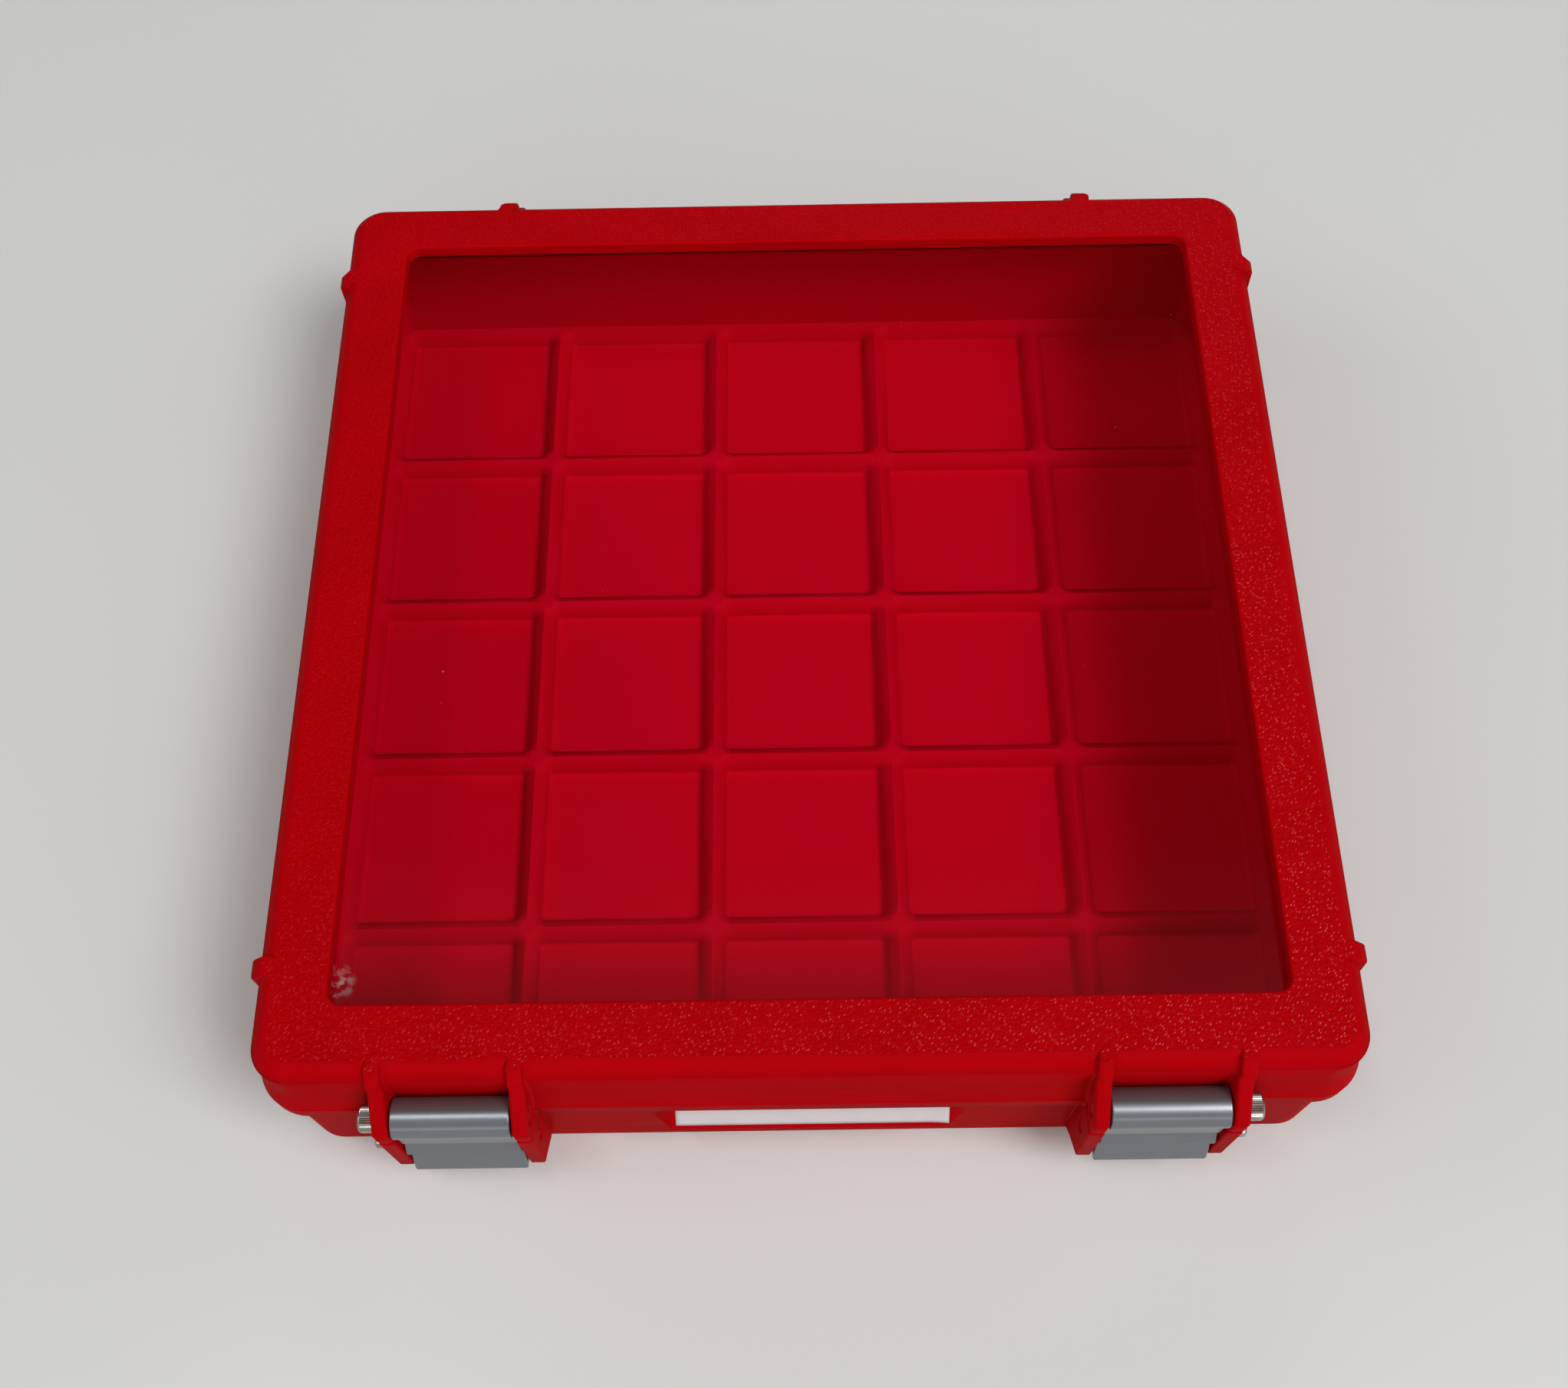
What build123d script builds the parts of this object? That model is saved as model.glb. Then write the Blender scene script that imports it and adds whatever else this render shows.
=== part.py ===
from build123d import *
import os

os.makedirs("parts", exist_ok=True)

# Millimetres. The origin is the centre of the underside, +Z up, and the latches are on the -Y side.
# The box is drawn closed: every piece is in its place with the lid down and the latches clipped.

# Grid floor: sockets for the feet of loose bins
cell_size = 42.0
cells_per_side = 5
ridge_flat = 0.4
mouth_slope = 2.15
socket_straight = 1.8
foot_slope = 0.7
socket_corner = 3.8
floor_thickness = 1.35
bin_clearance = 0.25

# Walls and rim
wall = 2.75
corner_radius = 7.5
base_height = 34.7
base_edge_chamfer = 0.8
lip_out = 2.0
lip_height = 4.4
rim_gap = 0.2

# Lid and window
lid_height = 17.5
top_thickness = 3.75
top_bevel = 3.6
flare_height = 6.2
top_border = 14.5
window_corner = 3.0
panel_wall_gap = 3.75
panel_thickness = 2.0
panel_corner = 5.0

# Screws: socket head, metric 3
screw_diameter = 3.0
head_diameter = 5.5
head_height = 3.0
head_edge = 0.35
hex_across_flats = 2.5
hex_depth = 1.6
tip_chamfer = 0.4
tip_recess = 0.4
bore_clearance = 0.05
head_clearance = 0.25

# Latches and the ribs that carry them
latch_inset = 38.0
latch_width = 23.4
latch_side_gap = 0.3
latch_rib_width = 3.2
latch_rib_height = 8.6
barrel_radius = 4.1
barrel_gap = 0.3
latch_axis_rise = 3.1
catch_drop = 15.0
throat_clearance = 0.15
jaw_wall = 2.1
rib_hang_gap = 0.5

# Latch outline: how far each point lies in front of the pivot, and how far below it
face_out = 3.2
first_tooth_drop = 9.0
first_tooth_root = 2.2
second_tooth_drop = 14.2
second_tooth_root = 2.0
tooth_out = 4.35
grip_drop = 24.0
grip_out = 5.4
grip_thickness = 2.5
spine_back = 3.3

# Ribs that stiffen the sides, and the shoulder and foot of every rib
side_rib_inset = 22.6
side_rib_width = 4.4
rib_proud = 1.5
rib_bevel = 2.9
rib_seat_depth = 2.0
shoulder_height = 2.4
rib_foot = 14.0
rib_end_bevel = 1.2
side_rib_foot = 6.0

# Hinges
hinge_inset = 38.0
knuckle_width = 4.0
hinge_rib_width = 4.0
hinge_side_gap = 0.3
relief_gap = 0.4

# Label plate and strip
plate_half_length = 28.3
plate_end_bevel = 4.0
plate_proud = 4.0
plate_face_drop = 6.7
strip_length = 55.6
strip_height = 6.0
strip_thickness = 0.15
strip_shift = 0.5
strip_top_margin = 0.35

# Sizes that follow from the ones above
inner_width = cell_size * cells_per_side + 2 * bin_clearance
outer_width = inner_width + 2 * wall
outer_half = outer_width / 2
inner_corner = corner_radius - wall
seat_half = outer_half - rib_seat_depth
top_half = outer_half - top_bevel
latch_x = outer_half - latch_inset
hinge_x = outer_half - hinge_inset
side_rib_y = outer_half - side_rib_inset
lip_width = outer_width + 2 * lip_out
lip_corner = corner_radius + lip_out
socket_depth = mouth_slope + socket_straight + foot_slope
ridge_z = floor_thickness + socket_depth
lip_edge_z = base_height - lip_height
lip_root_z = lip_edge_z - lip_out
lid_rim_z = base_height + rim_gap
lid_top_z = lid_rim_z + lid_height
flare_top_z = lid_rim_z + flare_height
ceiling_z = lid_top_z - top_thickness
window_size = outer_width - 2 * top_border
panel_size = inner_width - 2 * panel_wall_gap

bore_radius = screw_diameter / 2 + bore_clearance
axis_out = outer_half + barrel_gap + barrel_radius
latch_axis_z = lid_rim_z + latch_axis_rise
catch_axis_z = latch_axis_z - catch_drop
rib_front = outer_half + latch_rib_height
rib_end_radius = rib_front - axis_out
rib_end_z = latch_axis_z - rib_end_radius
box_rib_top = rib_end_z - rib_hang_gap
latch_gap_half = latch_width / 2 + latch_side_gap
latch_rib_offset = latch_gap_half + latch_rib_width / 2
latch_span = 2 * (latch_gap_half + latch_rib_width)

hinge_axis_z = base_height + rim_gap / 2
hinge_rib_offset = knuckle_width / 2 + hinge_side_gap + hinge_rib_width / 2
hinge_span = knuckle_width + 2 * (hinge_side_gap + hinge_rib_width)
relief_depth = lip_out + relief_gap

plate_low_z = lip_root_z - plate_face_drop
plate_foot_z = plate_low_z - plate_proud
plate_base_half = plate_half_length + plate_end_bevel

FRONT = -1
BACK = 1
LEFT = -1
RIGHT = 1
SIDES = {"left": LEFT, "right": RIGHT}


def rounded_block(width, corner, low, high, mode=Mode.ADD):
    """Adds or cuts an upright square block with rounded corners."""
    with BuildSketch(Plane.XY.offset(low)) as outline:
        RectangleRounded(width, width, corner)
    extrude(outline.sketch, amount=high - low, mode=mode)


def tapered_block(low_width, low_corner, low, high_width, high_corner, high):
    """Adds a block whose sides slope evenly from one rounded square to another."""
    with BuildSketch(Plane.XY.offset(low)) as low_outline:
        RectangleRounded(low_width, low_width, low_corner)
    with BuildSketch(Plane.XY.offset(high)) as high_outline:
        RectangleRounded(high_width, high_width, high_corner)
    loft([low_outline.sketch, high_outline.sketch], ruled=True)


def slab_across_x(x, width, points):
    """Adds a slab of the given width across X from its outline in Y and Z."""
    with BuildSketch(Plane.YZ.offset(x - width / 2)) as outline:
        with BuildLine():
            Polyline(*points, close=True)
        make_face()
    extrude(outline.sketch, amount=width)


def slab_across_y(y, width, points):
    """Adds a slab of the given width across Y from its outline in X and Z."""
    with BuildSketch(Plane.XZ.offset(-y - width / 2)) as outline:
        with BuildLine():
            Polyline(*points, close=True)
        make_face()
    extrude(outline.sketch, amount=width)


def disc_on_x(x, width, y, z, radius, mode=Mode.ADD):
    """Adds or cuts a disc whose axis runs along X."""
    with BuildSketch(Plane.YZ.offset(x - width / 2)) as outline:
        with Locations((y, z)):
            Circle(radius)
    extrude(outline.sketch, amount=width, mode=mode)


def head_recess(side, rib_pair_x, span, y, z):
    """Cuts a round recess in the lip, beside the outer rib, for the head of a screw."""
    length = head_height + head_clearance
    x = side * (rib_pair_x + span / 2 + length / 2)
    disc_on_x(x, length, y, z, head_diameter / 2 + head_clearance, mode=Mode.SUBTRACT)


def lip_relief(x, width, face, low, high):
    """Cuts the lip back to the wall, where a latch or a hinge needs the room."""
    with BuildSketch(Plane.XY.offset(low)) as outline:
        with Locations((x, face * (outer_half + relief_depth / 2))):
            Rectangle(width, relief_depth)
    extrude(outline.sketch, amount=high - low, mode=Mode.SUBTRACT)


def box_rib_outline(face, front, top_z, foot_z):
    """Rib on the tray: upright in front, with a foot that slopes back to the wall."""
    toe_z = foot_z - (front - outer_half)
    return (
        (face * seat_half, top_z),
        (face * front, top_z),
        (face * front, foot_z),
        (face * outer_half, toe_z),
        (face * seat_half, toe_z),
    )


def lid_rib_top(face):
    """Top of every rib on the lid: flush with the lid, then bevelled down to a shoulder."""
    shoulder_out = outer_half + rib_proud
    return (
        (face * top_half, lid_top_z - top_bevel),
        (face * top_half, lid_top_z),
        (face * (shoulder_out - rib_bevel), lid_top_z),
        (face * shoulder_out, lid_top_z - rib_bevel),
    )


def lid_rib_root(face):
    """Side of every rib that lies inside the lid's wall."""
    return ((face * seat_half, lid_rim_z), (face * seat_half, lid_top_z - top_bevel))


def lid_rib_outline(face, low_end):
    """Rib on the lid that carries a screw: below a short shoulder it flares out to its front."""
    shoulder_out = outer_half + rib_proud
    shoulder_z = lid_top_z - rib_bevel - shoulder_height
    flare = (
        (face * shoulder_out, shoulder_z),
        (face * rib_front, shoulder_z - (rib_front - shoulder_out)),
    )
    return lid_rib_top(face) + flare + low_end + lid_rib_root(face)


def lid_side_rib_outline(face):
    """Rib on the side of the lid: it runs down into the flare of the lip."""
    return lid_rib_top(face) + ((face * (outer_half + rib_proud), lid_rim_z),) + lid_rib_root(face)


def cap_screw(seat, length):
    """Socket head screw: the seat plane lies under its head and faces away from its shank."""
    centre_line = Axis(seat.origin, seat.z_dir)
    with BuildPart() as screw:
        with BuildSketch(seat):
            Circle(head_diameter / 2)
        extrude(amount=head_height)
        crown = screw.faces().sort_by(centre_line)[-1]
        chamfer(crown.edges(), head_edge)
        with BuildSketch(seat.offset(head_height)):
            RegularPolygon(hex_across_flats / 2, 6, major_radius=False)
        extrude(amount=-hex_depth, mode=Mode.SUBTRACT)
        with BuildSketch(seat):
            Circle(screw_diameter / 2)
        extrude(amount=-length)
        tip = screw.faces().sort_by(centre_line)[0]
        chamfer(tip.edges(), tip_chamfer)
    return screw.part


def latch_screw_seat(side, z):
    """Outer side of the outer rib, where the screw's head sits."""
    x = side * (latch_x + latch_span / 2)
    return Plane(origin=(x, -axis_out, z), x_dir=(0, 1, 0), z_dir=(side, 0, 0))


def hinge_screw_seat(side):
    """Outer side of the outer hinge rib."""
    x = side * (hinge_x + hinge_span / 2)
    return Plane(origin=(x, axis_out, hinge_axis_z), x_dir=(0, 1, 0), z_dir=(side, 0, 0))


# Cutter for one socket of the grid: sloped mouth, straight middle, sloped foot
mouth_size = cell_size - ridge_flat
socket_size = mouth_size - 2 * mouth_slope
foot_size = socket_size - 2 * foot_slope
middle_corner = socket_corner - mouth_slope
foot_corner = middle_corner - foot_slope
with BuildPart() as socket:
    rounded_block(mouth_size, socket_corner, 0, floor_thickness)
    tapered_block(socket_size, middle_corner, -mouth_slope, mouth_size, socket_corner, 0)
    rounded_block(socket_size, middle_corner, foot_slope - socket_depth, -mouth_slope)
    tapered_block(foot_size, foot_corner, -socket_depth, socket_size, middle_corner, foot_slope - socket_depth)

# Label plate: a wedge under the lip that leans out downwards, with its ends bevelled
with BuildPart() as label_plate:
    slab_across_x(
        0,
        2 * plate_base_half,
        (
            (-seat_half, lip_root_z),
            (-outer_half, lip_root_z),
            (-outer_half - plate_proud, plate_low_z),
            (-outer_half, plate_foot_z),
            (-seat_half, plate_foot_z),
        ),
    )
    for side in SIDES.values():
        top_end = Vector(side * plate_half_length, -outer_half, lip_root_z)
        face_end = Vector(side * plate_half_length, -outer_half - plate_proud, plate_low_z)
        base_end = Vector(side * plate_base_half, -outer_half, plate_foot_z)
        outward = (face_end - top_end).cross(base_end - top_end) * side
        end_plane = Plane(origin=top_end, x_dir=face_end - top_end, z_dir=outward)
        split(bisect_by=end_plane, keep=Keep.BOTTOM)

# Tray: walls and lip, ribs and label plate, then the room inside and the grid
with BuildPart() as box_bottom:
    rounded_block(outer_width, corner_radius, 0, base_height)
    chamfer(box_bottom.edges().group_by(Axis.Z)[0], base_edge_chamfer)
    tapered_block(outer_width, corner_radius, lip_root_z, lip_width, lip_corner, lip_edge_z)
    rounded_block(lip_width, lip_corner, lip_edge_z, base_height)
    for side in SIDES.values():
        lip_relief(side * latch_x, latch_span, FRONT, lip_root_z, base_height)
        lip_relief(side * hinge_x, hinge_span + 2 * relief_gap, BACK, lip_root_z, base_height)

    # Ribs in front, which hold the catch screws, and ribs at the back, which hold the hinge screws
    for side in SIDES.values():
        for end in (LEFT, RIGHT):
            latch_rib_x = side * latch_x + end * latch_rib_offset
            slab_across_x(latch_rib_x, latch_rib_width, box_rib_outline(FRONT, rib_front, box_rib_top, rib_foot))
            hinge_rib_x = side * hinge_x + end * hinge_rib_offset
            slab_across_x(hinge_rib_x, hinge_rib_width, box_rib_outline(BACK, rib_front, base_height, rib_foot))
            disc_on_x(hinge_rib_x, hinge_rib_width, axis_out, hinge_axis_z, rib_end_radius)

    # Ribs on the sides, from the lip down to the foot
    for side in SIDES.values():
        for y in (-side_rib_y, side_rib_y):
            slab_across_y(
                y, side_rib_width, box_rib_outline(side, outer_half + rib_proud, lip_edge_z, side_rib_foot)
            )

    add(label_plate.part)

    # Room inside and the sockets of the grid
    rounded_block(inner_width, inner_corner, ridge_z, base_height, mode=Mode.SUBTRACT)
    with Locations((0, 0, ridge_z)):
        with GridLocations(cell_size, cell_size, cells_per_side, cells_per_side):
            add(socket.part, mode=Mode.SUBTRACT)

    # Bores for the catch screws and the hinge screws, and room for the hinge screws' heads
    for side in SIDES.values():
        head_recess(side, hinge_x, hinge_span, axis_out, hinge_axis_z)
        disc_on_x(side * latch_x, latch_span, -axis_out, catch_axis_z, bore_radius, mode=Mode.SUBTRACT)
        disc_on_x(side * hinge_x, hinge_span, axis_out, hinge_axis_z, bore_radius, mode=Mode.SUBTRACT)

# Lid frame: bevelled block, flared lip, ribs and knuckles, then the hollow and the window
with BuildPart() as lid_frame:
    rounded_block(outer_width, corner_radius, lid_rim_z, lid_top_z)
    chamfer(lid_frame.edges().group_by(Axis.Z)[-1], top_bevel)
    tapered_block(lip_width, lip_corner, lid_rim_z, outer_width, corner_radius, flare_top_z)
    for side in SIDES.values():
        lip_relief(side * latch_x, latch_span, FRONT, lid_rim_z, flare_top_z)
        lip_relief(side * hinge_x, hinge_span + 2 * relief_gap, BACK, lid_rim_z, flare_top_z)

    # Ribs that carry the latch screws: they hang below the rim, with their ends bevelled
    latch_rib_end = (
        (-rib_front, rib_end_z + rib_end_bevel),
        (-rib_front + rib_end_bevel, rib_end_z),
        (-axis_out, rib_end_z),
        (-axis_out + rib_end_radius, lid_rim_z),
    )
    for side in SIDES.values():
        for end in (LEFT, RIGHT):
            x = side * latch_x + end * latch_rib_offset
            slab_across_x(x, latch_rib_width, lid_rib_outline(FRONT, latch_rib_end))

    # Knuckles of the hinges, one between each pair of ribs of the tray
    for side in SIDES.values():
        slab_across_x(side * hinge_x, knuckle_width, lid_rib_outline(BACK, ((rib_front, lid_rim_z),)))
        disc_on_x(side * hinge_x, knuckle_width, axis_out, hinge_axis_z, rib_end_radius)

    # Ribs on the sides, from the top down into the flare
    for side in SIDES.values():
        for y in (-side_rib_y, side_rib_y):
            slab_across_y(y, side_rib_width, lid_side_rib_outline(side))

    rounded_block(inner_width, inner_corner, lid_rim_z, ceiling_z, mode=Mode.SUBTRACT)
    rounded_block(window_size, window_corner, ceiling_z, lid_top_z, mode=Mode.SUBTRACT)

    # Bores for the latch screws and the hinge screws, and room for their heads
    for side in SIDES.values():
        head_recess(side, latch_x, latch_span, -axis_out, latch_axis_z)
        head_recess(side, hinge_x, hinge_span, axis_out, hinge_axis_z)
        disc_on_x(side * latch_x, latch_span, -axis_out, latch_axis_z, bore_radius, mode=Mode.SUBTRACT)
        disc_on_x(side * hinge_x, knuckle_width, axis_out, hinge_axis_z, bore_radius, mode=Mode.SUBTRACT)

# Window: clear sheet bonded against the underside of the frame
with BuildPart() as window_panel:
    rounded_block(panel_size, panel_corner, ceiling_z - panel_thickness, ceiling_z)


def latch_solid(x):
    """Clip latch: a barrel on the upper screw, stepped grip in front, jaw round the lower screw."""
    throat_radius = screw_diameter / 2 + throat_clearance
    jaw_radius = throat_radius + jaw_wall
    face = -axis_out - face_out
    tooth = -axis_out - tooth_out
    grip = -axis_out - grip_out
    spine = -axis_out + spine_back
    first_z = latch_axis_z - first_tooth_drop
    second_z = latch_axis_z - second_tooth_drop
    grip_z = latch_axis_z - grip_drop
    with BuildPart() as latch:
        slab_across_x(
            x,
            latch_width,
            (
                (spine, latch_axis_z),
                (face, latch_axis_z),
                (face, first_z),
                (-axis_out - first_tooth_root, first_z),
                (tooth, second_z),
                (-axis_out - second_tooth_root, second_z),
                (grip, grip_z),
                (grip + grip_thickness, grip_z),
                (-axis_out, catch_axis_z - jaw_radius),
                (spine, catch_axis_z - throat_radius - jaw_wall / 2),
            ),
        )
        disc_on_x(x, latch_width, -axis_out, latch_axis_z, barrel_radius)

        # Throat: it follows the turn of the latch, so that the lower screw leaves it freely
        with BuildSketch(Plane.YZ.offset(x - latch_width / 2)):
            with Locations((-axis_out, latch_axis_z)):
                Circle(catch_drop + throat_radius)
                Circle(catch_drop - throat_radius, mode=Mode.SUBTRACT)
            with Locations((-axis_out + jaw_radius, catch_axis_z)):
                Rectangle(2 * jaw_radius, 4 * jaw_radius, mode=Mode.INTERSECT)
            with Locations((-axis_out, catch_axis_z)):
                Circle(throat_radius)
        extrude(amount=latch_width, mode=Mode.SUBTRACT)
        disc_on_x(x, latch_width, -axis_out, latch_axis_z, bore_radius, mode=Mode.SUBTRACT)
    return latch.part


# Label strip: tape laid on the sloped face of the plate
face_direction = Vector(0, -plate_proud, -plate_face_drop).normalized()
strip_plane = Plane(
    origin=Vector(strip_shift, -outer_half, lip_root_z) + face_direction * (strip_top_margin + strip_height / 2),
    x_dir=(1, 0, 0),
    z_dir=Vector(1, 0, 0).cross(face_direction * -1),
)
with BuildPart() as label_strip:
    with BuildSketch(strip_plane):
        Rectangle(strip_length, strip_height)
    extrude(amount=strip_thickness)

pieces = {
    "box_bottom": box_bottom.part,
    "lid_frame": lid_frame.part,
    "window_panel": window_panel.part,
    "label_strip": label_strip.part,
}
for name, side in SIDES.items():
    pieces[name + "_latch"] = latch_solid(side * latch_x)
    pieces[name + "_latch_screw"] = cap_screw(latch_screw_seat(side, latch_axis_z), latch_span - tip_recess)
    pieces[name + "_catch_screw"] = cap_screw(latch_screw_seat(side, catch_axis_z), latch_span - tip_recess)
    pieces[name + "_hinge_screw"] = cap_screw(hinge_screw_seat(side), hinge_span - tip_recess)

for name, piece in pieces.items():
    piece.label = name
    export_step(piece, "parts/" + name + ".step")
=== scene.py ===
import math

import bmesh
import bpy
from mathutils import Matrix, Vector


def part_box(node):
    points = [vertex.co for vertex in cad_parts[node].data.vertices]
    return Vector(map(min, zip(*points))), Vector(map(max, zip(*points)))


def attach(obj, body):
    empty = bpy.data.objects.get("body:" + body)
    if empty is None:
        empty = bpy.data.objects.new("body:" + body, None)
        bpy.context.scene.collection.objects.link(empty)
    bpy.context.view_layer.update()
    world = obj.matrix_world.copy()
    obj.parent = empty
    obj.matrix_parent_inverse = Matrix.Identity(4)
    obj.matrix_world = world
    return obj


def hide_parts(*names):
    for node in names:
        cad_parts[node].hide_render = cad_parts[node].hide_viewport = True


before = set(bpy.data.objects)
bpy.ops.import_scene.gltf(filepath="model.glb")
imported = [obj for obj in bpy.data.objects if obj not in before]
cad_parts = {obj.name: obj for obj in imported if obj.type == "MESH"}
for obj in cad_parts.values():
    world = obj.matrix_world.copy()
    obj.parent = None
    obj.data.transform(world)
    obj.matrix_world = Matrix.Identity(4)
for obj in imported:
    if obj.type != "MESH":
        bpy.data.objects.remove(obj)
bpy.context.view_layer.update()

MM = 0.001

# Where the printed faces that lay on the build plate are, and how upright a level face's normal is
LID_TOP = 52.4 * MM
BOX_UNDERSIDE = 0.0
PLATE_REACH = 0.1 * MM
LEVEL_LIMIT = 0.97

# Room inside the box, under its rim, whose red is painted brighter for the light that bounces in it
INNER_REACH = 105.4 * MM
RIM_LEVEL = 34.5 * MM

# Marks of the print, in millimetres. The build plate's pebbles, and the glints painted on them as
# highlights, are as wide as the real ones, and the glints are drawn out and turned, in degrees.
# Layers 0.2 mm thick and strokes of fill 0.45 mm wide are too fine to show, so the layers are drawn
# 0.6 mm apart and the strokes 0.7 mm apart, which is 0.99 mm along X + Y.
PEBBLE_WIDTH = 0.6
GLINT_WIDTH = 0.5
GLINT_STRETCH = 3.0
GLINT_TURN = 50.0
LAYER_SPACING = 0.6
LAYER_WAVER = 0.4
STROKE_SPACING = 0.99
LINE_DEPTH = 0.05
PEBBLE_DEPTH = 0.45

# The painted glints are weak at the back left and strong at the front right, the key lamp's side, by X
# - Y
GLINTS_WEAK = -60 * MM
GLINTS_STRONG = 170 * MM

# Dried glue on the window, at its front left corner
GLUE_PLACE = (-92.5 * MM, -88.0 * MM, 48.6 * MM)
GLUE_REACH = 4 * MM
GLUE_CORE = 1 * MM

# Rounding of the CAD solids' edges, with its angles in degrees
WELD_REACH = 0.002 * MM
FLAT_ANGLE = 0.5
EDGE_ANGLE = 60.0
EDGE_SEGMENTS = 3

# Screws: metric 3, socket head, with a knurled side
HEAD_RADIUS = 2.75 * MM
HEAD_HEIGHT = 3.0 * MM
HEAD_ROUNDING = 0.3 * MM
KNURL_TEETH = 40
KNURL_DEPTH = 0.16 * MM
KNURL_MARGIN = 0.45 * MM
SOCKET_RADIUS = 1.44 * MM
SOCKET_DEPTH = 1.6 * MM
SOCKET_FLARE = 0.15 * MM
SHANK_RADIUS = 1.5 * MM
THREAD_PITCH = 0.5 * MM
THREAD_DEPTH = 0.27 * MM
THREAD_STEPS = 20
THREAD_OVERLAP = 1.02
TIP_CHAMFER = 0.4 * MM
LATCH_PLAIN_LENGTH = 13 * MM
HINGE_PLAIN_LENGTH = 5 * MM

# Label strip: tape on the sloped plate
STRIP_THICKNESS = 0.15 * MM
STRIP_CURL = 0.35 * MM
CURL_REACH = 5 * MM
CURL_SLANT = 0.8
MERGE_REACH = 0.001 * MM

# Stage in metres, and camera in millimetres of film and degrees
FLOOR_SIZE = 4.0
SENSOR_WIDTH = 36.0
LENS = 39.259
CAMERA_PLACE = (-1.697 * MM, -186.373 * MM, 374.368 * MM)
CAMERA_TURN = (26.1591, 0.72275, -0.63666)


def linear(code):
    """Linear colour of an sRGB hex value."""
    parts = [int(code[i:i + 2], 16) / 255 for i in (1, 3, 5)]
    return [p / 12.92 if p <= 0.04045 else ((p + 0.055) / 1.055) ** 2.4 for p in parts] + [1.0]


def add_node(tree, kind, inputs, **settings):
    """Adds a shader node. An input is a value, or the socket or node that feeds it."""
    made = tree.nodes.new("ShaderNode" + kind)
    for name, value in settings.items():
        setattr(made, name, value)
    for name, value in inputs.items():
        if isinstance(value, bpy.types.Node):
            value = value.outputs[0]
        if isinstance(value, bpy.types.NodeSocket):
            tree.links.new(value, made.inputs[name])
        else:
            made.inputs[name].default_value = value
    return made


def new_material(name):
    """An empty material with its output, and the coordinates of the piece that wears it."""
    material = bpy.data.materials.new(name)
    material.use_nodes = True
    tree = material.node_tree
    tree.nodes.clear()
    return material, tree, add_node(tree, "OutputMaterial", {}), add_node(tree, "TexCoord", {})


def grain_size(millimetres):
    """Scale of a noise whose grains are this wide, on coordinates in metres."""
    return 1 / (millimetres * MM)


def print_lines(tree, along, spacing):
    """A wave of the given spacing in metres along a coordinate, from 0 to 1."""
    phase = add_node(tree, "Math", {0: along, 1: 2 * math.pi / spacing}, operation="MULTIPLY")
    wave = add_node(tree, "Math", {0: phase}, operation="SINE")
    return add_node(tree, "MapRange", {"Value": wave, "From Min": -1.0, "From Max": 1.0})


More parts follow.
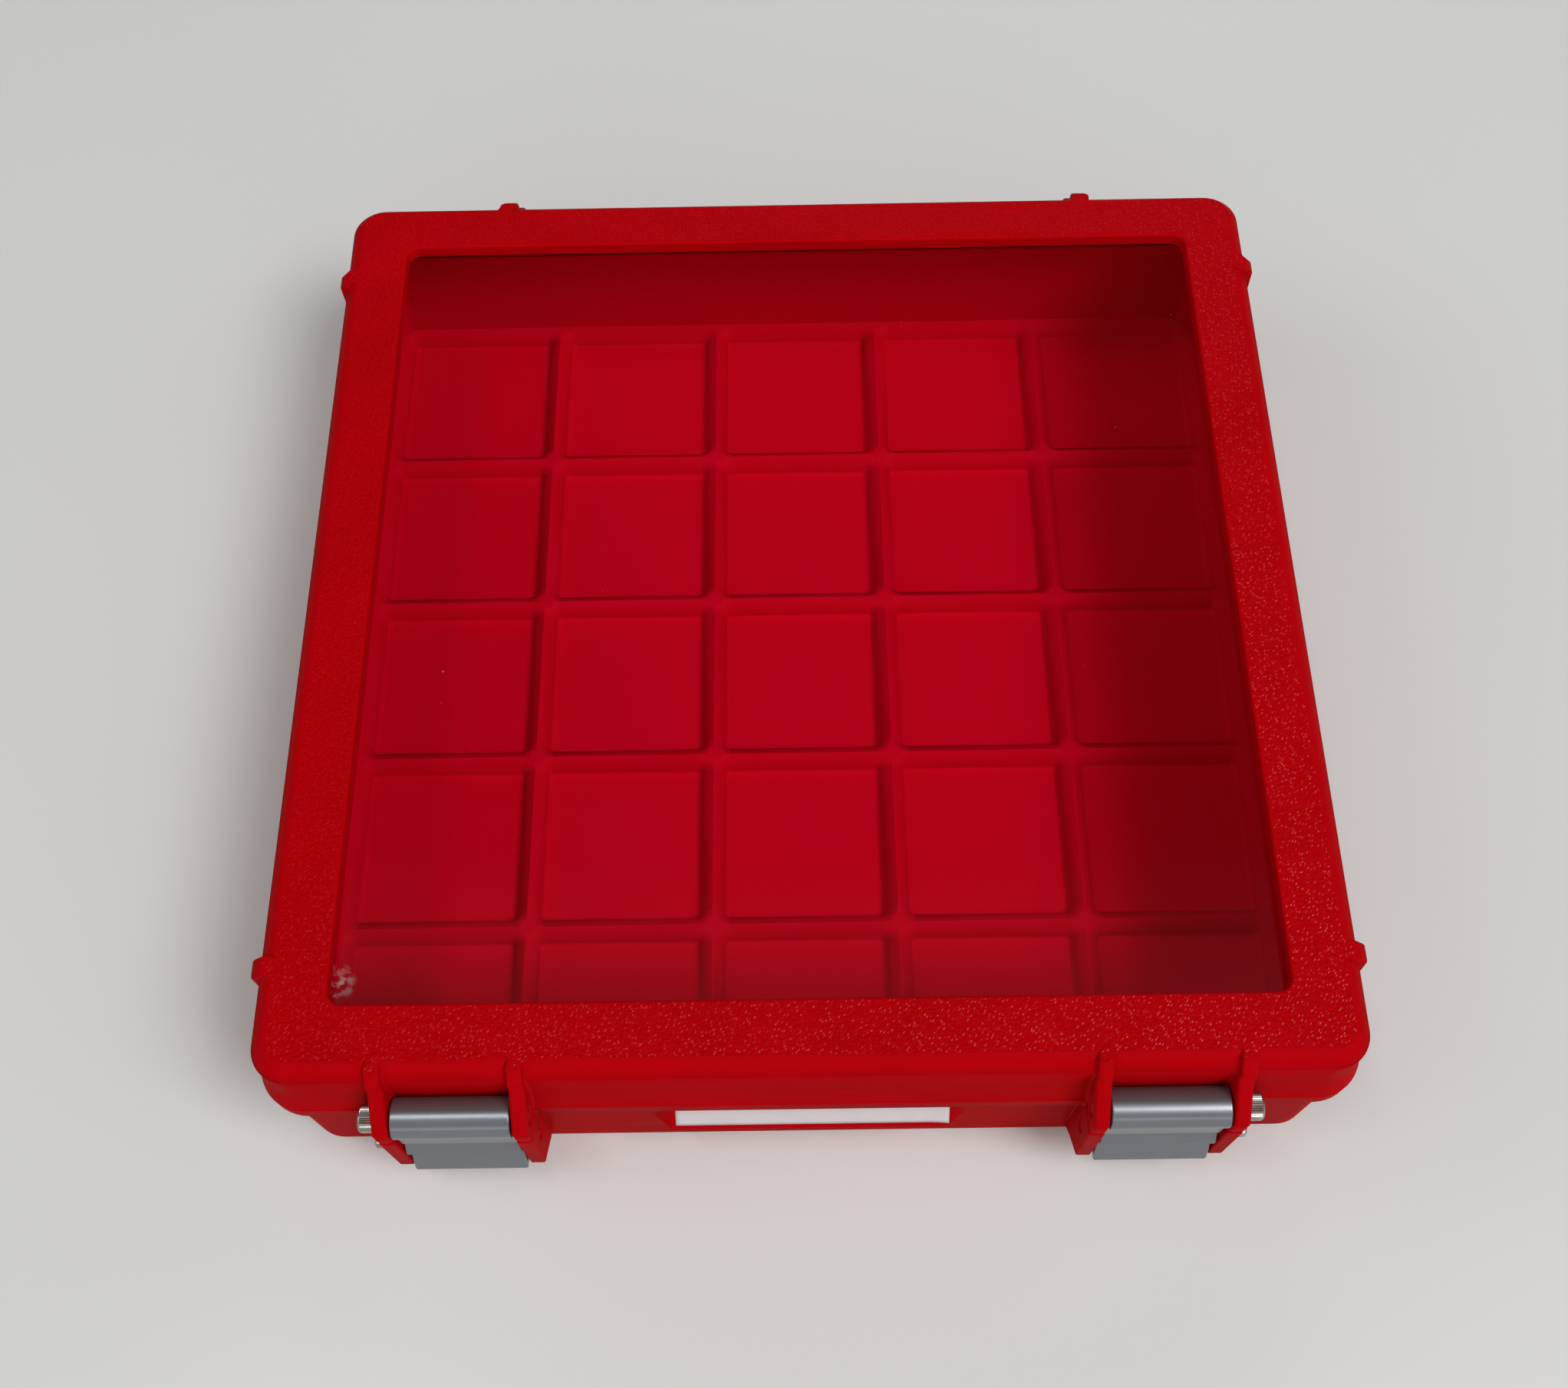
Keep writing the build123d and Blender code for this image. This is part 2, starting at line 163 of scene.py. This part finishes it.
def printed_red():
    """PETG, 3-D printed: deep red with a dull gloss. Faces that lay on the build plate take its
    pebbled grain, with glints painted into the colour as highlights. The others show faint layer
    lines, and floors faint strokes of fill. Inside the box the red is painted brighter, for the
    light that bounces between its walls."""
    material, tree, output, place = new_material("petg_printed_red")
    where = add_node(tree, "SeparateXYZ", {0: place.outputs["Object"]})
    facing = add_node(tree, "SeparateXYZ", {0: place.outputs["Normal"]})
    x, y, z = where.outputs
    flat = add_node(tree, "Math", {0: facing.outputs["Z"]}, operation="ABSOLUTE")
    level = add_node(tree, "Math", {0: flat, 1: LEVEL_LIMIT}, operation="GREATER_THAN")

    # Build-plate grain: pebbles on the lid's top and the box's underside
    on_top = add_node(tree, "Math", {0: z, 1: LID_TOP - PLATE_REACH}, operation="GREATER_THAN")
    on_plate = add_node(tree, "Math", {0: z, 1: BOX_UNDERSIDE + PLATE_REACH}, operation="LESS_THAN")
    either = add_node(tree, "Math", {0: on_top, 1: on_plate}, operation="MAXIMUM")
    grained = add_node(tree, "Math", {0: either, 1: level}, operation="MULTIPLY")
    pebbles = add_node(
        tree, "TexNoise",
        {"Vector": place.outputs["Object"], "Scale": grain_size(PEBBLE_WIDTH), "Detail": 2.0,
         "Roughness": 0.5})
    pebble_bump = add_node(tree, "Math", {0: pebbles, 1: grained}, operation="MULTIPLY")
    # Glints on them, painted into the colour as highlights: one on each pebble, drawn out along one
    # diagonal, and some stronger
    drawn_out = add_node(
        tree, "Mapping",
        {"Vector": place.outputs["Object"], "Rotation": (0.0, 0.0, math.radians(GLINT_TURN)),
         "Scale": (GLINT_STRETCH, 1.0, 1.0)},
        vector_type="TEXTURE")
    crowns = add_node(
        tree, "TexVoronoi", {"Vector": drawn_out, "Scale": grain_size(GLINT_WIDTH)},
        voronoi_dimensions="2D")
    glint = add_node(
        tree, "MapRange", {"Value": crowns.outputs["Distance"], "From Min": 0.24, "From Max": 0.06})
    chance = add_node(
        tree, "MapRange", {"Value": crowns.outputs["Color"], "From Min": 0.42, "From Max": 0.9})
    glints = add_node(tree, "Math", {0: glint, 1: chance}, operation="MULTIPLY")

    # Layer lines, which waver a little
    waver = add_node(
        tree, "TexNoise", {"Vector": place.outputs["Object"], "Scale": grain_size(30), "Detail": 2.0})
    shifted = add_node(tree, "Math", {0: waver, 1: LAYER_WAVER * MM, 2: z}, operation="MULTIPLY_ADD")
    layers = print_lines(tree, shifted, LAYER_SPACING * MM)
    # Strokes of fill, at 45 degrees, which show only in places
    diagonal = add_node(tree, "Math", {0: x, 1: y}, operation="ADD")
    strokes = print_lines(tree, diagonal, STROKE_SPACING * MM)
    stroke_patches = add_node(
        tree, "TexNoise", {"Vector": place.outputs["Object"], "Scale": grain_size(45), "Detail": 1.0})
    stroke_share = add_node(
        tree, "MapRange", {"Value": stroke_patches, "From Min": 0.5, "From Max": 0.65, "To Max": 0.8})
    seen_strokes = add_node(tree, "Math", {0: strokes, 1: stroke_share}, operation="MULTIPLY")
    lines = add_node(tree, "Mix", {"Factor": level, "A": layers, "B": seen_strokes}, data_type="FLOAT")

    # Colour: deeper and paler patches a few centimetres across
    patches = add_node(
        tree, "TexNoise", {"Vector": place.outputs["Object"], "Scale": grain_size(25), "Detail": 4.0})
    depth = add_node(tree, "MapRange", {"Value": patches, "From Min": 0.3, "From Max": 0.7})
    body = add_node(
        tree, "Mix", {"Factor": depth, "A": linear("#A60006"), "B": linear("#AE000A")},
        data_type="RGBA")

    # Painted light: the room inside is painted a brighter red, standing in for light that bounces
    # between its walls
    across = add_node(tree, "Math", {0: x}, operation="ABSOLUTE")
    along = add_node(tree, "Math", {0: y}, operation="ABSOLUTE")
    furthest = add_node(tree, "Math", {0: across, 1: along}, operation="MAXIMUM")
    within = add_node(tree, "Math", {0: furthest, 1: INNER_REACH}, operation="LESS_THAN")
    under_rim = add_node(tree, "Math", {0: z, 1: RIM_LEVEL}, operation="LESS_THAN")
    off_plate = add_node(tree, "Math", {0: 1.0, 1: on_plate}, operation="SUBTRACT")
    low_inside = add_node(tree, "Math", {0: within, 1: under_rim}, operation="MULTIPLY")
    inside = add_node(tree, "Math", {0: low_inside, 1: off_plate}, operation="MULTIPLY")
    painted_bounce_colour = add_node(
        tree, "Mix", {"Factor": inside, "A": body.outputs["Result"], "B": linear("#C2001C")},
        data_type="RGBA")

    # The painted glints are strongest towards the front and the right, the side the key lamp lights
    # from
    forwards = add_node(tree, "Math", {0: x, 1: y}, operation="SUBTRACT")
    lit_share = add_node(
        tree, "MapRange",
        {"Value": forwards, "From Min": GLINTS_WEAK, "From Max": GLINTS_STRONG, "To Min": 0.08,
         "To Max": 0.85})
    lit_glints = add_node(tree, "Math", {0: glints, 1: lit_share}, operation="MULTIPLY")
    painted_glint_share = add_node(tree, "Math", {0: lit_glints, 1: grained}, operation="MULTIPLY")
    # Painted highlights: the glints are pale pink specks mixed into the base colour
    colour_and_painted_glints = add_node(
        tree, "Mix",
        {"Factor": painted_glint_share, "A": painted_bounce_colour.outputs["Result"], "B": linear("#F4646C")},
        data_type="RGBA")

    line_bump = add_node(
        tree, "Bump",
        {"Strength": 0.2, "Distance": LINE_DEPTH * MM, "Height": lines.outputs["Result"]})
    bump = add_node(
        tree, "Bump",
        {"Strength": 1.0, "Distance": PEBBLE_DEPTH * MM, "Height": pebble_bump, "Normal": line_bump})
    gloss = add_node(tree, "MapRange", {"Value": grained, "To Min": 0.6, "To Max": 0.4})
    shader = add_node(
        tree, "BsdfPrincipled",
        {"Base Color": colour_and_painted_glints.outputs["Result"], "Roughness": gloss, "Normal": bump, "IOR": 1.5,
         "Specular IOR Level": 0.015})
    tree.links.new(shader.outputs[0], output.inputs["Surface"])
    return material


def printed_grey():
    """PETG with a silk pigment, 3-D printed on its side: grey that shines like satin metal, with
    faint lines across the latch."""
    material, tree, output, place = new_material("petg_silk_printed_grey")
    where = add_node(tree, "SeparateXYZ", {0: place.outputs["Object"]})
    layers = print_lines(tree, where.outputs["X"], LAYER_SPACING * MM)
    fine = add_node(
        tree, "TexNoise", {"Vector": place.outputs["Object"], "Scale": grain_size(0.5), "Detail": 3.0})
    patches = add_node(
        tree, "TexNoise", {"Vector": place.outputs["Object"], "Scale": grain_size(8), "Detail": 3.0})
    body = add_node(
        tree, "Mix", {"Factor": patches, "A": linear("#787B80"), "B": linear("#808388")},
        data_type="RGBA")
    height = add_node(tree, "Math", {0: fine, 1: 0.5, 2: layers}, operation="MULTIPLY_ADD")
    bump = add_node(tree, "Bump", {"Strength": 0.05, "Distance": 0.03 * MM, "Height": height})
    shader = add_node(
        tree, "BsdfPrincipled",
        {"Base Color": body.outputs["Result"], "Metallic": 0.75, "Roughness": 0.31, "Normal": bump})
    tree.links.new(shader.outputs[0], output.inputs["Surface"])
    return material


def clear_sheet():
    """Acrylic, cut from cast sheet: clear, with a weak mirror on it, dust, and dried glue at
    the front left corner."""
    material, tree, output, place = new_material("acrylic_cast_clear")
    mirror = add_node(tree, "BsdfGlossy", {"Color": linear("#FFFFFF"), "Roughness": 0.04})
    open_way = add_node(tree, "BsdfTransparent", {"Color": linear("#FDFCFC")})
    seen_from = add_node(tree, "NewGeometry", {})
    outside = add_node(
        tree, "Math", {0: 1.0, 1: seen_from.outputs["Backfacing"]}, operation="SUBTRACT")
    strength = add_node(tree, "Fresnel", {"IOR": 1.49})
    share = add_node(tree, "Math", {0: strength, 1: outside}, operation="MULTIPLY")
    pane = add_node(tree, "MixShader", {0: share, 1: open_way, 2: mirror})
    specks = add_node(
        tree, "TexNoise", {"Vector": place.outputs["Object"], "Scale": grain_size(1.2), "Detail": 3.0})
    dust = add_node(
        tree, "MapRange", {"Value": specks, "From Min": 0.79, "From Max": 0.82, "To Max": 0.3})
    corner = add_node(
        tree, "VectorMath", {0: place.outputs["Object"], 1: GLUE_PLACE}, operation="DISTANCE")
    near_corner = add_node(
        tree, "MapRange",
        {"Value": corner.outputs["Value"], "From Min": GLUE_REACH, "From Max": GLUE_CORE})
    smears = add_node(
        tree, "TexNoise", {"Vector": place.outputs["Object"], "Scale": grain_size(1.6), "Detail": 4.0})
    smear_edge = add_node(tree, "MapRange", {"Value": smears, "From Min": 0.48, "From Max": 0.62})
    glue = add_node(tree, "Math", {0: near_corner, 1: smear_edge}, operation="MULTIPLY")
    glue_share = add_node(tree, "Math", {0: glue, 1: 0.3}, operation="MULTIPLY")
    haze = add_node(tree, "Math", {0: dust, 1: glue_share}, operation="MAXIMUM")
    bloom = add_node(tree, "BsdfDiffuse", {"Color": linear("#C9C2C4")})
    shader = add_node(tree, "MixShader", {0: haze, 1: pane, 2: bloom})
    tree.links.new(shader.outputs[0], output.inputs["Surface"])
    return material


def label_tape():
    """Laminated polyester tape: white, faintly uneven, with a soft gloss."""
    material, tree, output, place = new_material("laminated_tape_white")
    wear = add_node(
        tree, "TexNoise", {"Vector": place.outputs["Object"], "Scale": grain_size(6), "Detail": 5.0})
    body = add_node(
        tree, "Mix", {"Factor": wear, "A": linear("#C4BABC"), "B": linear("#D2CACC")},
        data_type="RGBA")
    bump = add_node(tree, "Bump", {"Strength": 0.2, "Distance": 0.1 * MM, "Height": wear})
    shader = add_node(
        tree, "BsdfPrincipled",
        {"Base Color": body.outputs["Result"], "Roughness": 0.32, "Normal": bump, "IOR": 1.5})
    tree.links.new(shader.outputs[0], output.inputs["Surface"])
    return material


def stainless_steel():
    """Stainless steel, cold headed and turned: warm grey metal, a little uneven in colour and
    gloss."""
    material, tree, output, place = new_material("stainless_steel_turned")
    stain = add_node(
        tree, "TexNoise", {"Vector": place.outputs["Object"], "Scale": grain_size(1.5), "Detail": 4.0})
    body = add_node(
        tree, "Mix", {"Factor": stain, "A": linear("#8E8A84"), "B": linear("#B4AEA6")},
        data_type="RGBA")
    gloss = add_node(tree, "MapRange", {"Value": stain, "To Min": 0.22, "To Max": 0.4})
    bump = add_node(tree, "Bump", {"Strength": 0.2, "Distance": 0.02 * MM, "Height": stain})
    shader = add_node(
        tree, "BsdfPrincipled",
        {"Base Color": body.outputs["Result"], "Metallic": 1.0, "Roughness": gloss, "Normal": bump})
    tree.links.new(shader.outputs[0], output.inputs["Surface"])
    return material


red = printed_red()
grey = printed_grey()
sheet = clear_sheet()
tape = label_tape()
steel = stainless_steel()


def paint(piece, material):
    """Puts one material on a whole piece."""
    if not piece.material_slots:
        piece.data.materials.append(material)
    for place in piece.material_slots:
        place.material = material


for node_name, node_material in (
    ("box_bottom", red), ("lid_frame", red), ("window_panel", sheet),
    ("left_latch", grey), ("right_latch", grey),
):
    paint(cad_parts[node_name], node_material)


def ease_edges(node, width, holed_face):
    """Rounds the square edges of a CAD solid, whose mesh stays as it is."""
    weld = node.modifiers.new("weld", "WELD")
    weld.merge_threshold = WELD_REACH
    # Flat faces become one polygon each, which rounds more cleanly, but not one with many holes
    if not holed_face:
        flatten = node.modifiers.new("flatten", "DECIMATE")
        flatten.decimate_type = "DISSOLVE"
        flatten.angle_limit = math.radians(FLAT_ANGLE)
    ease = node.modifiers.new("ease", "BEVEL")
    ease.width = width * MM
    ease.segments = EDGE_SEGMENTS
    ease.limit_method = "ANGLE"
    ease.angle_limit = math.radians(EDGE_ANGLE)
    ease.use_clamp_overlap = False
    ease.loop_slide = False
    node.modifiers.new("shade", "WEIGHTED_NORMAL")


for node_name, node_easing, holed_face in (
    ("box_bottom", 0.4, True), ("lid_frame", 0.7, False),
    ("left_latch", 0.35, False), ("right_latch", 0.35, False),
):
    ease_edges(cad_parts[node_name], node_easing, holed_face)


def finished(mesh, name, material, body, replaced, smooth=True):
    """Turns a bmesh into a piece that rides on a body and stands for a CAD node."""
    bmesh.ops.remove_doubles(mesh, verts=mesh.verts, dist=MERGE_REACH)
    bmesh.ops.recalc_face_normals(mesh, faces=mesh.faces)
    for face in mesh.faces:
        face.smooth = smooth
    data = bpy.data.meshes.new(name)
    mesh.to_mesh(data)
    mesh.free()
    piece = bpy.data.objects.new(name, data)
    bpy.context.scene.collection.objects.link(piece)
    paint(piece, material)
    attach(piece, body)
    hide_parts(replaced)


def add_ring(mesh, radius, x, count, knurl=0.0):
    """A ring of edges round X. With a knurl, every other point lies deeper."""
    made = bmesh.ops.create_circle(
        mesh, cap_ends=False, radius=radius, segments=count,
        matrix=Matrix.Translation((x, 0, 0)) @ Matrix.Rotation(math.pi / 2, 4, "Y"))["verts"]
    if knurl:
        bmesh.ops.scale(
            mesh, vec=(1, 1 - knurl / radius, 1 - knurl / radius), verts=made[::2])
    return list({edge for vert in made for edge in vert.link_edges})


def screw(name, body, replaced, side, plain_length):
    """Socket head screw in the place of the CAD one. Its head faces away from the middle, and
    its thread starts where its plain length ends."""
    low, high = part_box(replaced)
    seat_x = (high.x - HEAD_HEIGHT) if side > 0 else (low.x + HEAD_HEIGHT)
    length = (high.x - low.x) - HEAD_HEIGHT
    mesh = bmesh.new()
    count = 2 * KNURL_TEETH
    rings = [
        add_ring(mesh, SHANK_RADIUS, 0.0, count),
        add_ring(mesh, HEAD_RADIUS - KNURL_DEPTH, 0.0, count),
        add_ring(mesh, HEAD_RADIUS, KNURL_DEPTH, count, KNURL_DEPTH),
        add_ring(mesh, HEAD_RADIUS, HEAD_HEIGHT - KNURL_MARGIN, count, KNURL_DEPTH),
        add_ring(mesh, HEAD_RADIUS - KNURL_DEPTH / 2, HEAD_HEIGHT - HEAD_ROUNDING, count),
        add_ring(mesh, HEAD_RADIUS - HEAD_ROUNDING, HEAD_HEIGHT, count),
        add_ring(mesh, SOCKET_RADIUS + SOCKET_FLARE, HEAD_HEIGHT, count),
    ]
    for inner, outer in zip(rings, rings[1:]):
        bmesh.ops.bridge_loops(mesh, edges=inner + outer)
    hexagon = add_ring(mesh, SOCKET_RADIUS, HEAD_HEIGHT - SOCKET_FLARE, 6)
    bmesh.ops.bridge_loops(mesh, edges=rings[-1] + hexagon)
    pit = add_ring(mesh, SOCKET_RADIUS, HEAD_HEIGHT - SOCKET_DEPTH, 6)
    bmesh.ops.bridge_loops(mesh, edges=hexagon + pit)
    bmesh.ops.contextual_create(mesh, geom=pit)

    # Shank: plain at first, then a helix, then a chamfered tip
    neck = add_ring(mesh, SHANK_RADIUS, -plain_length, count)
    bmesh.ops.bridge_loops(mesh, edges=rings[0] + neck)
    core = add_ring(mesh, SHANK_RADIUS - THREAD_DEPTH, -plain_length - THREAD_DEPTH, count)
    bmesh.ops.bridge_loops(mesh, edges=neck + core)
    core_end = add_ring(mesh, SHANK_RADIUS - THREAD_DEPTH, TIP_CHAMFER - length, count)
    bmesh.ops.bridge_loops(mesh, edges=core + core_end)
    tip = add_ring(mesh, SHANK_RADIUS - TIP_CHAMFER, -length, count)
    bmesh.ops.bridge_loops(mesh, edges=core_end + tip)
    bmesh.ops.contextual_create(mesh, geom=tip)
    turns = int((length - plain_length - TIP_CHAMFER - 2 * THREAD_PITCH) / THREAD_PITCH)
    if turns > 0:
        root = SHANK_RADIUS - THREAD_DEPTH * THREAD_OVERLAP
        start = -plain_length - THREAD_DEPTH - THREAD_PITCH
        corners = [
            bmesh.ops.create_vert(mesh, co=(start + offset * THREAD_PITCH, 0, radius))["vert"][0]
            for offset, radius in ((0, root), (0.44, SHANK_RADIUS), (0.56, SHANK_RADIUS), (1, root))
        ]
        ridge = [mesh.edges.new(pair) for pair in zip(corners, corners[1:])]
        bmesh.ops.spin(
            mesh, geom=corners + ridge, cent=(0, 0, 0), axis=(1, 0, 0), steps=turns * THREAD_STEPS,
            angle=turns * 2 * math.pi, dvec=(-THREAD_PITCH / THREAD_STEPS, 0, 0))

    # Put it in its place, with its head outwards
    middle = (low + high) / 2
    turn = Matrix.Rotation(0 if side > 0 else math.pi, 4, "Z")
    bmesh.ops.transform(
        mesh, matrix=Matrix.Translation((seat_x, middle.y, middle.z)) @ turn, verts=mesh.verts)
    finished(mesh, name, steel, body, replaced, smooth=False)


for side_name, side in (("left", -1), ("right", 1)):
    for use, body, plain_length in (
        ("_latch", "lid", LATCH_PLAIN_LENGTH), ("_catch", "box", LATCH_PLAIN_LENGTH),
        ("_hinge", "box", HINGE_PLAIN_LENGTH),
    ):
        screw(side_name + use + "_cap_screw", body, side_name + use + "_screw", side, plain_length)


def strip():
    """Label tape, with its lower right corner lifted a little."""
    low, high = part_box("label_strip")
    slope = math.atan2(high.z - low.z, high.y - low.y)
    mesh = bmesh.new()
    width = high.x - low.x
    height = (high - low).yz.length - STRIP_THICKNESS
    made = bmesh.ops.create_grid(mesh, x_segments=60, y_segments=8, size=0.5)["verts"]
    bmesh.ops.scale(mesh, vec=(width, height, 1), verts=made)
    for vert in mesh.verts:
        reach = (vert.co.x - width / 2) + CURL_SLANT * (-vert.co.y - height / 2)
        lift = max(0.0, 1 + reach / CURL_REACH)
        vert.co.z += STRIP_CURL * lift * lift
    bmesh.ops.solidify(mesh, geom=mesh.faces[:], thickness=STRIP_THICKNESS / 2)
    middle = (low + high) / 2
    tilt = Matrix.Rotation(slope, 4, "X")
    bmesh.ops.transform(mesh, matrix=Matrix.Translation(middle) @ tilt, verts=mesh.verts)
    finished(mesh, "label_tape_strip", tape, "box", "label_strip")


strip()


def table_top():
    """Melamine faced board, pressed: pale and even, with a satin gloss."""
    material, tree, output, place = new_material("melamine_table_pale")
    patches = add_node(
        tree, "TexNoise", {"Vector": place.outputs["Object"], "Scale": grain_size(180), "Detail": 2.0})
    body = add_node(
        tree, "Mix", {"Factor": patches, "A": linear("#CFCFCD"), "B": linear("#D3D3D1")},
        data_type="RGBA")
    shader = add_node(
        tree, "BsdfPrincipled",
        {"Base Color": body.outputs["Result"], "Roughness": 0.3, "IOR": 1.5,
         "Specular IOR Level": 0.4})
    tree.links.new(shader.outputs[0], output.inputs["Surface"])
    return material


# Floor
floor_mesh = bmesh.new()
bmesh.ops.create_grid(floor_mesh, x_segments=1, y_segments=1, size=FLOOR_SIZE)
floor_data = bpy.data.meshes.new("floor")
floor_mesh.to_mesh(floor_data)
floor_mesh.free()
floor = bpy.data.objects.new("floor", floor_data)
bpy.context.scene.collection.objects.link(floor)
paint(floor, table_top())

# Light: soft boxes round the box, and a dim room that is darkest over its back
world = bpy.data.worlds.new("room")
bpy.context.scene.world = world
world.use_nodes = True
room = world.node_tree
room.nodes.clear()
sight = add_node(room, "TexCoord", {})
direction = add_node(room, "SeparateXYZ", {0: sight.outputs["Generated"]})
shade = add_node(
    room, "MapRange",
    {"Value": direction.outputs["Y"], "From Min": -0.05, "From Max": 0.35, "To Min": 0.45,
     "To Max": 0.01})
# The camera itself sees a pale backdrop all round
ray = add_node(room, "LightPath", {})
seen_shade = add_node(
    room, "Mix", {"Factor": ray.outputs["Is Camera Ray"], "A": shade.outputs["Result"], "B": 0.75},
    data_type="FLOAT")
sky = add_node(
    room, "Background", {"Color": linear("#FFFFFF"), "Strength": seen_shade.outputs["Result"]})
add_node(room, "OutputWorld", {"Surface": sky})


def soft_box(name, towards, distance, size, power):
    """An area lamp of the given size in metres that looks at the box."""
    lamp = bpy.data.lights.new(name, "AREA")
    lamp.shape = "RECTANGLE"
    lamp.size, lamp.size_y = size
    lamp.energy = power
    holder = bpy.data.objects.new(name, lamp)
    bpy.context.scene.collection.objects.link(holder)
    way = Vector(towards).normalized()
    holder.location = way * distance
    holder.rotation_euler = way.to_track_quat("Z", "Y").to_euler()


soft_box("key", (0.46, -0.32, 0.83), 3.0, (1.2, 1.2), 53.0)
soft_box("ceiling", (-0.23, -0.15, 1.0), 2.4, (0.8, 0.12), 7.0)
soft_box("front", (0.0, -0.95, 0.25), 1.7, (1.5, 0.16), 1.8)
soft_box("left", (-0.75, 0.0, 0.65), 1.7, (1.0, 0.8), 3.0)
soft_box("back", (0.1, 0.93, 0.3), 1.8, (1.2, 0.5), 6.0)

# Camera: where the photograph was taken from
camera = bpy.data.cameras.new("camera")
camera.sensor_width = SENSOR_WIDTH
camera.lens = LENS
camera.clip_start = 10 * MM
camera_holder = bpy.data.objects.new("camera", camera)
camera_holder.location = CAMERA_PLACE
camera_holder.rotation_euler = [math.radians(angle) for angle in CAMERA_TURN]
bpy.context.scene.collection.objects.link(camera_holder)
bpy.context.scene.camera = camera_holder
bpy.context.scene.view_settings.view_transform = "Standard"
